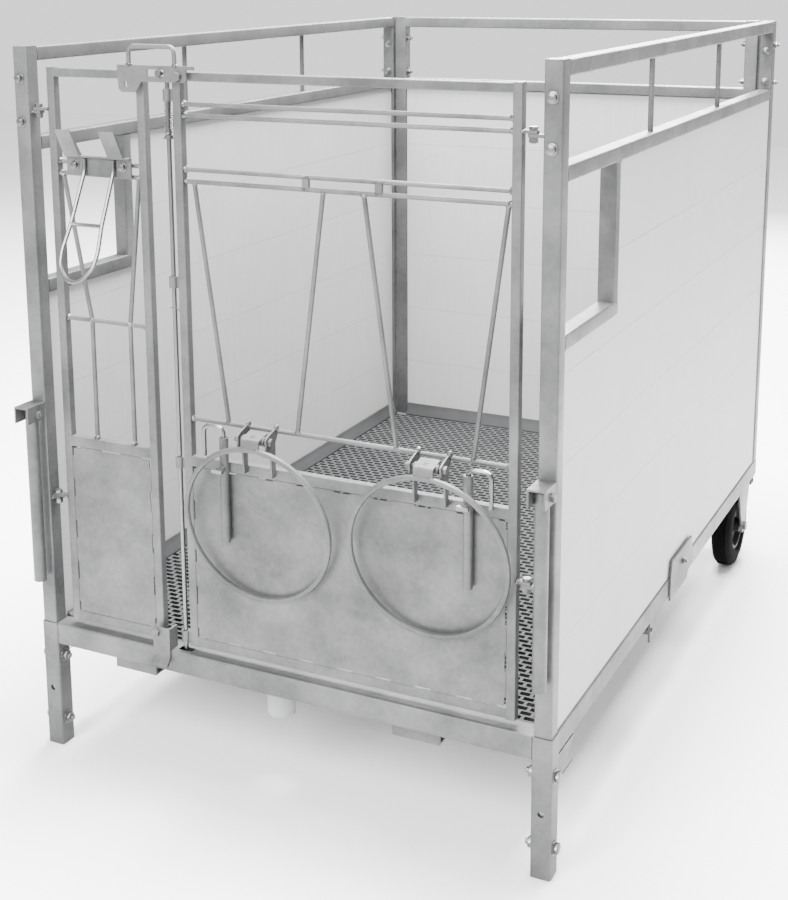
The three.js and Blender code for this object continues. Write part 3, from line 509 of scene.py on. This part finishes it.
class FloorSettings(bpy.types.PropertyGroup):
    """The slatted floor."""

    slot_length: bpy.props.FloatProperty(
        name="Slot length", description="In millimetres", default=18.5, min=1)
    slot_pitch: bpy.props.FloatProperty(
        name="Slot pitch", description="Along a row, in millimetres", default=24.0, min=2)
    row_pitch: bpy.props.FloatProperty(
        name="Row pitch", description="Front to back, in millimetres", default=15.0, min=2)
    bar: bpy.props.FloatProperty(
        name="Bar", description="Thickness of the bar between rows, in millimetres", default=4.6)


class StageSettings(bpy.types.PropertyGroup):
    """Light and camera."""

    key: bpy.props.FloatProperty(
        name="Key light", description="Power of the large front lamp", default=600.0, unit="POWER")
    fill: bpy.props.FloatProperty(
        name="Fill light", description="Power of the right lamp", default=12.0, unit="POWER")
    top: bpy.props.FloatProperty(
        name="Top light", description="Power of the lamp overhead", default=1250.0, unit="POWER")
    back: bpy.props.FloatProperty(
        name="Back light", description="Power of the lamp behind", default=900.0, unit="POWER")
    sky: bpy.props.FloatProperty(
        name="Surroundings", description="Brightness of the even light all round", default=1.35)


class HUTCH_OT_finishes(bpy.types.Operator):
    """Makes every finish and gives the frame's own pieces theirs"""

    bl_idname = "hutch.finishes"
    bl_label = "Finishes"

    def execute(self, context):
        chosen = context.scene.hutch_finishes
        zinc_bloom_group()
        soil_group()
        light, dark = tuple(chosen.zinc_light), tuple(chosen.zinc_dark)
        zinc_material("Dull zinc", light, dark, metallic=0.45, crystal=150.0, cloud=9.0)
        zinc_material("Bright zinc", [min(1, c * 1.25) for c in light], light, metallic=0.9, crystal=240.0,
                      cloud=30.0, roughness=0.32)
        zinc_material("Weld metal", [min(1, c * 1.4) for c in light], dark, metallic=0.8, crystal=420.0,
                      cloud=90.0, roughness=0.38)
        plastic_material("Wall plank", tuple(chosen.board), (0.47, 0.465, 0.45), amount=0.25, roughness=0.5,
                         stretch=(6, 6, 0.4), grain=20.0, relief=0.05)
        floor = tuple(chosen.floor)
        plastic_material("Floor plastic", floor, tuple(c * 0.6 for c in floor), amount=0.5, roughness=0.6,
                         specular=0.12)
        plastic_material("Pan plastic", (0.26, 0.265, 0.27), (0.16, 0.16, 0.16), amount=0.4, roughness=0.5)
        plastic_material("Tyre rubber", (0.003, 0.003, 0.003), (0.008, 0.0078, 0.0075), amount=0.5,
                         roughness=0.8, grain=120.0, relief=0.25, specular=0.03)
        plastic_material("Rim plastic", (0.008, 0.008, 0.0085), (0.02, 0.02, 0.02), amount=0.3, roughness=0.5,
                         specular=0.1)
        by_slot = {
            "galvanised_steel": "Dull zinc", "zinc_steel": "Bright zinc", "wall_board": "Wall plank",
            "floor_plastic": "Floor plastic", "pan_plastic": "Pan plastic", "tyre_rubber": "Tyre rubber",
            "rim_plastic": "Rim plastic",
        }
        for part in frame["record"]["subparts"]:
            piece = frame["nodes"][part["node"]]
            mesh = piece.data
            if "custom_normal" in mesh.attributes:
                mesh.attributes.remove(mesh.attributes["custom_normal"])
            mesh.materials.clear()
            mesh.materials.append(material(by_slot[part["material_slot"]]))
            weld = piece.modifiers.new("Joined faces", "WELD")
            weld.merge_threshold = 0.00002
            soften(piece, 38)
        return {"FINISHED"}


# ---- walls and floor ----


def plank_rows(count, bottom, top, joint):
    """The bottom and top of each plank in a wall."""
    pitch = (top - bottom) / count
    rows = []
    for i in range(count):
        below = joint / 2 if i else 0
        above = joint / 2 if i < count - 1 else 0
        rows.append((bottom + i * pitch + below, bottom + (i + 1) * pitch - above))
    return rows


class HUTCH_OT_walls(bpy.types.Operator):
    """Plank walls on both sides and at the back"""

    bl_idname = "hutch.walls"
    bl_label = "Plank walls"

    def execute(self, context):
        wall = context.scene.hutch_walls
        bottom, top = BASE_TOP + WALL_GAP, MID_RAIL_BOTTOM - WALL_GAP
        front, back = POST + WALL_GAP, LENGTH - POST - WALL_GAP
        window, sill = WINDOW_BACK + WALL_GAP, SILL_BOTTOM - WALL_GAP
        for side in ("left", "right"):
            low = wall.recess if side == "left" else WIDTH - wall.recess - PLANK
            shape = Shape()
            for z0, z1 in plank_rows(wall.planks, bottom, top, wall.joint):
                if z0 >= sill:
                    outline = [(window, z0), (back, z0), (back, z1), (window, z1)]
                elif z1 <= sill:
                    outline = [(front, z0), (back, z0), (back, z1), (front, z1)]
                else:
                    outline = [(front, z0), (back, z0), (back, z1), (window, z1), (window, sill),
                               (front, sill)]
                shape.prism(outline, "x", low, low + PLANK)
            core = [(front + CORE_GAP, bottom + CORE_GAP), (back - CORE_GAP, bottom + CORE_GAP),
                    (back - CORE_GAP, top - CORE_GAP), (window + CORE_GAP, top - CORE_GAP),
                    (window + CORE_GAP, sill - CORE_GAP), (front + CORE_GAP, sill - CORE_GAP)]
            shape.prism(core, "x", low + CORE_INSET, low + PLANK - CORE_INSET)
            planks = shape.made(f"side_planks_{side}", "hutch", "wall_board", material("Wall plank"))
            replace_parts(planks, f"side_boards_{side}")
        shape = Shape()
        y = LENGTH - wall.recess - PLANK
        for z0, z1 in plank_rows(wall.planks, bottom, top, wall.joint):
            shape.box((BACK_WALL_LEFT, y, z0), (WIDTH - BACK_WALL_LEFT, y + PLANK, z1))
        shape.box((BACK_CORE_LEFT, y + CORE_INSET, bottom + CORE_GAP),
                  (WIDTH - BACK_CORE_LEFT, y + PLANK - CORE_INSET, top - CORE_GAP))
        planks = shape.made("back_planks", "hutch", "wall_board", material("Wall plank"))
        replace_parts(planks, "back_boards")
        return {"FINISHED"}


def strip_edge(place, lean, top, slope, rise):
    """The section of an edge strip, a low lip on the floor with a sloped foot."""
    return [(place, top + 1), (place + lean * 13, top + 1), (place + lean * 13, top + 4),
            (place + lean * 4, slope), (place + lean * 3, rise), (place, rise)]


class HUTCH_OT_floor(bpy.types.Operator):
    """Slatted plastic floor with its edge strips"""

    bl_idname = "hutch.floor"
    bl_label = "Slatted floor"

    def execute(self, context):
        chosen = context.scene.hutch_floor
        low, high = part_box("floor_grate")
        x0, x1 = (low.x - ORIGIN.x) * 1000, (high.x - ORIGIN.x) * 1000
        y0, y1 = (low.y - ORIGIN.y) * 1000, (high.y - ORIGIN.y) * 1000
        top = high.z * 1000
        bottom = low.z * 1000
        shape = Shape()
        rows = int((y1 - y0 - chosen.bar) / chosen.row_pitch)
        pitch = (y1 - y0 - chosen.bar) / rows
        rib = chosen.slot_pitch - chosen.slot_length
        for i in range(rows + 1):
            y = y0 + i * pitch
            shape.box((x0, y, top - FLOOR_SKIN), (x1, y + chosen.bar, top))
        for i in range(rows):
            y = y0 + i * pitch + chosen.bar
            x = x0 + (i % 2) * chosen.slot_pitch / 2
            while x + rib < x1:
                shape.box((x, y, top - FLOOR_SKIN), (x + rib, y + pitch - chosen.bar, top))
                x += chosen.slot_pitch
        span = y1 - y0 - (2 * JOIST_START + JOIST)
        for k in range(JOISTS):
            y = y0 + JOIST_START + k * span / (JOISTS - 1)
            shape.box((x0, y, bottom), (x1, y + JOIST, top - FLOOR_SKIN))
        for x in (x0, (x0 + x1) / 2 - JOIST / 2, x1 - JOIST):
            shape.box((x, y0, bottom), (x + JOIST, y1, top - FLOOR_SKIN))
        floor = shape.made("slatted_floor", "hutch", "floor_plastic", material("Floor plastic"))
        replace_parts(floor, "floor_grate")
        strips = Shape()
        for x, lean in ((STRIP_FACE, 1), (WIDTH - STRIP_FACE, -1)):
            strips.prism(strip_edge(x, lean, top, top + 8, top + 11), "y", POST + 4, STRIP_LOW_END)
            strips.prism(strip_edge(x, lean, top, top + 14, STRIP_TOP), "y", STRIP_LOW_END + 0.2,
                         LENGTH - POST - 4)
        back = strip_edge(LENGTH - STRIP_FACE, -1, top, top + 14, STRIP_TOP)
        strips.prism(back, "x", BACK_STRIP_LEFT, WIDTH - BACK_STRIP_LEFT)
        strips.made("floor_edge_strips", "hutch", "floor_plastic", material("Floor plastic"), bevel=0.8)
        return {"FINISHED"}


# ---- welds and fasteners of the fixed frame ----


def seam(shape, start, end, radius, seed, step=3.5):
    """A row of small weld beads along a line."""
    start, end = Vector(start), Vector(end)
    count = max(2, int((end - start).length / step))
    for i in range(count + 1):
        shape.bead(start.lerp(end, i / count), radius, seed + i)


class HUTCH_OT_frame_fittings(bpy.types.Operator):
    """Bolts and welds on the fixed frame"""

    bl_idname = "hutch.frame_fittings"
    bl_label = "Frame fittings"

    def execute(self, context):
        bolts = Shape()
        for x in FRONT_BOLT_X:
            for z in FRONT_BOLT_Z:
                bolts.bolt((x, 0, z), (0, -1, 0))
        for z in REAR_BOLT_Z:
            bolts.bolt((0, LENGTH - 15, z), (-1, 0, 0), tail=5)
            bolts.bolt((WIDTH, LENGTH - 15, z), (1, 0, 0), tail=5)
            bolts.bolt((BACK_POST_INSIDE, LENGTH - 15, z), (1, 0, 0), tail=5)
            bolts.bolt((WIDTH - BACK_POST_INSIDE, LENGTH - 15, z), (-1, 0, 0), tail=5)
        for x in (15, WIDTH - 15):
            for z in BACK_BOLT_Z:
                bolts.bolt((x, LENGTH - POST, z), (0, -1, 0), tail=5)
        for x, out, tail in ((-2, -1, 0), (33, 1, 5), (WIDTH + 2, 1, 0), (WIDTH - 33, -1, 5)):
            for z in LEG_BOLT_Z:
                bolts.bolt((x, 15.5, z), (out, 0, 0), across=17, height=6.5, tail=tail)
        for x in (15.5, WIDTH - 15.5):
            bolts.rod((x, 1.2, LEG_PLUG_Z), (x, 2.6, LEG_PLUG_Z), 6.5)
        for x, out in ((-4.3, -1), (WIDTH + 4.3, 1)):
            bolts.bolt((x, *LINK_BOLT), (out, 0, 0), across=12, height=4, tail=5)
        bolts.made("frame_bolts", "hutch", "zinc_steel", material("Bright zinc"), bevel=0.4)

        welds = Shape()
        for z in LUG_Z:
            for x, step in ((28, 3), (WIDTH - 28, -3)):
                seam(welds, (x + step, 7.5, z - 4), (x + step, 21, z - 4), 2.6, z)
        y, z = LENGTH - POST - 0.5, TOP_RAIL_TOP - 26
        for x0, x1 in ((2, 28), (WIDTH - 28, WIDTH - 2)):
            seam(welds, (x0, y, z), (x1, y, z), 1.6, 7)
        seam(welds, (277, 0.4, 208), (277, 0.4, 243), 0.9, 3, 1.6)
        for x, skin in ((0.6, 0), (WIDTH - 0.6, 1)):
            for y in (POST + 0.3, LENGTH - POST - 0.3):
                for z in (1128, 1284):
                    seam(welds, (x, y, z), (x, y, z + 21), 1.1, skin + z, 2.2)
            seam(welds, (x, POST + 0.3, 871), (x, POST + 0.3, 892), 1.1, skin, 2.2)
            seam(welds, (x, WINDOW_BACK - 24, 1126), (x, WINDOW_BACK - 1, 1126), 1.1, skin + 5, 2.2)
        for x in (0.8, WIDTH - 0.8):
            seam(welds, (x, 34, BASE_BOTTOM), (x, 106, BASE_BOTTOM), 1.0, x, 2.0)
        for x in (WIDTH - 28, 2):
            seam(welds, (x, 0.6, BASE_TOP), (x + 26, 0.6, BASE_TOP), 1.3, x, 2.4)
        welds.made("frame_welds", "hutch", "galvanised_steel", material("Weld metal"))
        return {"FINISHED"}


# ---- fittings of the doors ----


def stitched_sheet(name, left, right, body):
    """A door's sheet, held in its frame by short tabs with narrow slits between them."""
    low, high = left + DOOR_TUBE + 0.3, right - DOOR_TUBE - 0.3
    front = DOOR_FRONT + 1
    shape = Shape()
    shape.box((low + SLIT, front, SHEET_BOTTOM + SLIT), (high - SLIT, front + 2, SHEET_TOP - SLIT))
    across = max(2, round((high - low) / TAB_PITCH))
    upright = round((SHEET_TOP - SHEET_BOTTOM) / TAB_PITCH)
    for i in range(across):
        x = low + (i + 0.5) * (high - low) / across
        for z in (SHEET_BOTTOM, SHEET_TOP - SLIT - 0.5):
            shape.box((x - TAB_HALF, front + 0.1, z), (x + TAB_HALF, front + 1.9, z + SLIT + 0.5))
    for i in range(upright):
        z = SHEET_BOTTOM + (i + 0.5) * (SHEET_TOP - SHEET_BOTTOM) / upright
        for x in (low, high - SLIT - 0.5):
            shape.box((x, front + 0.1, z - TAB_HALF), (x + SLIT + 0.5, front + 1.9, z + TAB_HALF))
    return shape.made(name, body, "galvanised_steel", material("Dull zinc"))


def main_door_welds():
    """Weld metal where bars, ties, lugs, guides and clamp tubes meet the wide door's frame."""
    welds = Shape()
    left, right = MAIN[0] + DOOR_TUBE, MAIN[1] - DOOR_TUBE
    for i, z in enumerate((*UPPER_BARS, *FEED_BARS, BUCKET_BAR)):
        for k, x in enumerate((left + 1.5, right - 1.5)):
            welds.bead((x, DOOR_MIDDLE, z), 5.6, 11 * i + k)
    for i, (_, middle) in enumerate(BUCKETS):
        for side in (-1, 1):
            welds.bead((middle + side * 121, DOOR_MIDDLE, 1087), 5.2, 70 + i + side)
            welds.bead((middle + side * 67, DOOR_MIDDLE, 682), 5.2, 80 + i + side)
            welds.bead((middle + side * 27, DOOR_MIDDLE - 1, 685), 5.0, 90 + i + side)
    lower, upper = FEED_BARS
    for x in FEED_TIE_X:
        seam(welds, (x - 6, 15, upper), (x + 6, 15, upper), 2.4, x)
        seam(welds, (x - 6, 15, lower), (x + 6, 15, lower), 2.4, x + 5)
    for z in DOOR_LUG_Z:
        seam(welds, (MAIN[1] + 1, 8, z), (MAIN[1] + 1, 20, z), 3.2, z)
    for i, z in enumerate(GUIDE_Z):
        seam(welds, (MAIN[0] - 1, 15, z + 2), (MAIN[0] - 1, 15, z + 18), 2.0, 40 + i)
    for x, z in CLAMP:
        seam(welds, (x - 6, 8.6, z - 48), (x - 6, 8.6, z - 20), 2.2, x)
    welds.made("door_welds", "main_door", "galvanised_steel", material("Weld metal"))


def narrow_gate_welds():
    """Weld metal where bars, lugs and the bottle holder meet the narrow gate's frame."""
    welds = Shape()
    left, right = NARROW[0] + DOOR_TUBE, NARROW[1] - DOOR_TUBE
    for i, z in enumerate((*FEED_BARS, GATE_CROSS)):
        for k, x in enumerate((left + 1.5, right - 1.5)):
            welds.bead((x, DOOR_MIDDLE, z), 5.6, 17 * i + k)
    bar_ends = ((84, 1087), (243, 1087), (131, GATE_CROSS), (212, GATE_CROSS), (131, 615), (212, 615))
    for i, (x, z) in enumerate(bar_ends):
        welds.bead((x, DOOR_MIDDLE - 1, z), 5.4, 30 + i)
    for z in DOOR_LUG_Z:
        seam(welds, (NARROW[0] - 1, 8, z), (NARROW[0] - 1, 20, z), 3.0, z)
    for x in HOLDER_X:
        seam(welds, (x, 12, 1095), (x, 12, 1118), 3.2, x)
    welds.made("gate_welds", "narrow_gate", "galvanised_steel", material("Weld metal"))


def holder_bolts():
    """Bolts of the bottle holder."""
    bolts = Shape()
    for x, z in HOLDER_BOLTS:
        bolts.bolt((x, 6.5, z), (0, -1, 0), across=12, height=5)
    bolts.made("holder_bolts", "narrow_gate", "zinc_steel", material("Bright zinc"), bevel=0.4)


def return_spring():
    """The coil that pushes the drop rod down; it is shorter while the rod is up, but is made here at one
    length.
    """
    low, high = SPRING
    steps = COIL_TURNS * 14
    places = []
    for i in range(steps + 1):
        turn = 2 * math.pi * COIL_TURNS * i / steps
        places.append((ROD_X + COIL_RADIUS * math.cos(turn), DOOR_MIDDLE + COIL_RADIUS * math.sin(turn),
                       low + 1 + (high - low - 2) * i / steps))
    coil = Shape()
    coil.path(places, 0.95, 8)
    spring = coil.made("return_spring", "main_door", "zinc_steel", material("Bright zinc"))
    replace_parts(spring, "rod_spring")
    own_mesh(spring)


def rod_pins():
    """The washer below the spring and the split pin below the guide, both on the drop rod."""
    rod = Shape()
    rod.rod((ROD_X, DOOR_MIDDLE, 1159.4), (ROD_X, DOOR_MIDDLE, 1160.8), 9.5, 28)
    rod.path([(ROD_X - 9, DOOR_MIDDLE - 5, 873), (ROD_X - 6, DOOR_MIDDLE - 2, 871),
              (ROD_X + 6, DOOR_MIDDLE - 1, 870), (ROD_X + 12, DOOR_MIDDLE - 4, 868)], 1.1, 8)
    rod.made("rod_pins", "drop_rod", "zinc_steel", material("Bright zinc"))


def lever_welds():
    """Weld metal round the feet of the latch lever's grip."""
    lever = Shape()
    for x in (245, 335):
        for k in range(6):
            a = math.pi * k / 3
            lever.bead((x + 4 * math.cos(a), -1.5 + 3 * math.sin(a), 1281.5), 2.4, x + k)
    lever.made("lever_welds", "latch_lever", "galvanised_steel", material("Weld metal"))


def ring_welds(side, middle):
    """Weld metal where a bucket ring joins its hinge plate."""
    tab = Shape()
    for k in range(7):
        tab.bead((middle - 15 + k * 5, -25, 655.5), 3.0, k)
    for x in (middle - 15, middle + 15):
        seam(tab, (x, -24, 668), (x, -8, 674), 2.0, x)
    tab.made(f"ring_welds_{side}", f"bucket_ring_{side}", "galvanised_steel", material("Weld metal"))


class HUTCH_OT_door_fittings(bpy.types.Operator):
    """Sheets, welds, bolts and the spring of the two doors"""

    bl_idname = "hutch.door_fittings"
    bl_label = "Door fittings"

    def execute(self, context):
        for name, (left, right), body in (("main_door_sheet", MAIN, "main_door"),
                                          ("narrow_gate_sheet", NARROW, "narrow_gate")):
            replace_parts(stitched_sheet(f"stitched_{name}", left, right, body), name)
        main_door_welds()
        narrow_gate_welds()
        holder_bolts()
        return_spring()
        rod_pins()
        lever_welds()
        for side, middle in BUCKETS:
            ring_welds(side, middle)
        return {"FINISHED"}


class HUTCH_OT_wheels(bpy.types.Operator):
    """Tyres with grooves round the tread"""

    bl_idname = "hutch.wheels"
    bl_label = "Wheels"

    def execute(self, context):
        radius, half, rim = TYRE_RADIUS, TYRE_HALF, RIM_RADIUS
        for side, x in (("left", WHEEL_X), ("right", WIDTH - WHEEL_X)):
            outline = [(rim, half - 6), (rim + 8, half), (radius - 18, half), (radius - 6, half - 4)]
            for groove in GROOVES:
                outline += [(radius, groove + 2.2), (radius - 2.6, groove + 1.4),
                            (radius - 2.6, groove - 1.4), (radius, groove - 2.2)]
            outline += [(radius - 6, 4 - half), (radius - 18, -half), (rim + 8, -half), (rim, 6 - half)]
            shape = Shape()
            shape.turned(outline[::-1], (x, AXLE_Y, AXLE_Z), (1, 0, 0), 96)
            tyre = shape.made(f"grooved_tyre_{side}", f"wheel_{side}", "tyre_rubber",
                              material("Tyre rubber"), 32)
            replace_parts(tyre, f"tyre_{side}")
        return {"FINISHED"}


class HUTCH_OT_stage(bpy.types.Operator):
    """Floor, lamps and camera"""

    bl_idname = "hutch.stage"
    bl_label = "Stage"

    def execute(self, context):
        chosen = context.scene.hutch_stage
        floor = bpy.data.meshes.new("studio_floor")
        floor.from_pydata([(-9, -9, 0), (9, -9, 0), (9, 9, 0), (-9, 9, 0)], [], [(0, 1, 2, 3)])
        floor.materials.append(stage_material())
        ground = bpy.data.objects.new("studio_floor", floor)
        context.scene.collection.objects.link(ground)

        world = bpy.data.worlds.new("Studio")
        world.use_nodes = True
        light = world.node_tree.nodes["Background"]
        light.inputs["Color"].default_value = (1, 1, 1, 1)
        light.inputs["Strength"].default_value = chosen.sky
        context.scene.world = world

        for name, place, aim, size, power in (
            ("key_lamp", (-0.6, -4.2, 3.3), (0.1, 0, 0.6), 2.6, chosen.key),
            ("fill_lamp", (3.6, -1.0, 2.4), (0, 0, 0.7), 2.5, chosen.fill),
            ("back_lamp", (-0.6, 4.6, 2.9), (0, 0, 0.8), 3.0, chosen.back),
            ("top_lamp", (0.1, 0.3, 3.8), (0.1, 0.3, 0), 2.2, chosen.top),
        ):
            data = bpy.data.lights.new(name, "AREA")
            data.shape = "DISK"
            data.size = size
            data.energy = power
            lamp = bpy.data.objects.new(name, data)
            lamp.location = place
            lamp.rotation_euler = (Vector(aim) - Vector(place)).to_track_quat("-Z", "Y").to_euler()
            context.scene.collection.objects.link(lamp)

        data = bpy.data.cameras.new("front_right_view")
        data.lens = CAMERA_LENS
        data.sensor_width = 36
        data.shift_x, data.shift_y = CAMERA_SHIFT
        data.clip_end = 60
        camera = bpy.data.objects.new("front_right_view", data)
        yaw, pitch, roll = (math.radians(angle) for angle in CAMERA_TURN)
        level = math.cos(pitch)
        forward = Vector((-math.sin(yaw) * level, math.cos(yaw) * level, -math.sin(pitch)))
        right = Vector((math.cos(yaw), math.sin(yaw), 0))
        up = right.cross(forward)
        side = math.cos(roll) * right + math.sin(roll) * up
        top = -math.sin(roll) * right + math.cos(roll) * up
        turn = Matrix((side, top, -forward)).transposed()
        camera.matrix_world = Matrix.Translation(metres(*CAMERA_PLACE)) @ turn.to_4x4()
        context.scene.collection.objects.link(camera)
        context.scene.camera = camera
        return {"FINISHED"}


class HUTCH_PT_panel(bpy.types.Panel):
    """Lists the steps that build the hutch"""

    bl_idname = "HUTCH_PT_panel"
    bl_label = "Calf hutch"
    bl_space_type = "VIEW_3D"
    bl_region_type = "UI"
    bl_category = "Calf hutch"

    def draw(self, context):
        for group in (context.scene.hutch_finishes, context.scene.hutch_walls, context.scene.hutch_floor,
                      context.scene.hutch_stage):
            box = self.layout.box()
            for name in group.__annotations__:
                box.prop(group, name)
        for step in STEPS:
            self.layout.operator(step.bl_idname)


STEPS = (HUTCH_OT_finishes, HUTCH_OT_walls, HUTCH_OT_floor, HUTCH_OT_frame_fittings, HUTCH_OT_door_fittings,
         HUTCH_OT_wheels, HUTCH_OT_stage)
SETTINGS = {"hutch_finishes": FinishSettings, "hutch_walls": WallSettings, "hutch_floor": FloorSettings,
            "hutch_stage": StageSettings}


def register():
    for name, group in SETTINGS.items():
        bpy.utils.register_class(group)
        setattr(bpy.types.Scene, name, bpy.props.PointerProperty(type=group))
    for kind in (*STEPS, HUTCH_PT_panel):
        bpy.utils.register_class(kind)


def unregister():
    for kind in (HUTCH_PT_panel, *STEPS[::-1]):
        bpy.utils.unregister_class(kind)
    for name, group in SETTINGS.items():
        delattr(bpy.types.Scene, name)
        bpy.utils.unregister_class(group)


def main():
    """Builds everything in order."""
    register()
    bpy.ops.hutch.finishes()
    bpy.ops.hutch.walls()
    bpy.ops.hutch.floor()
    bpy.ops.hutch.frame_fittings()
    bpy.ops.hutch.door_fittings()
    bpy.ops.hutch.wheels()
    bpy.ops.hutch.stage()
    bpy.context.view_layer.update()


if __name__ == "__main__":
    main()
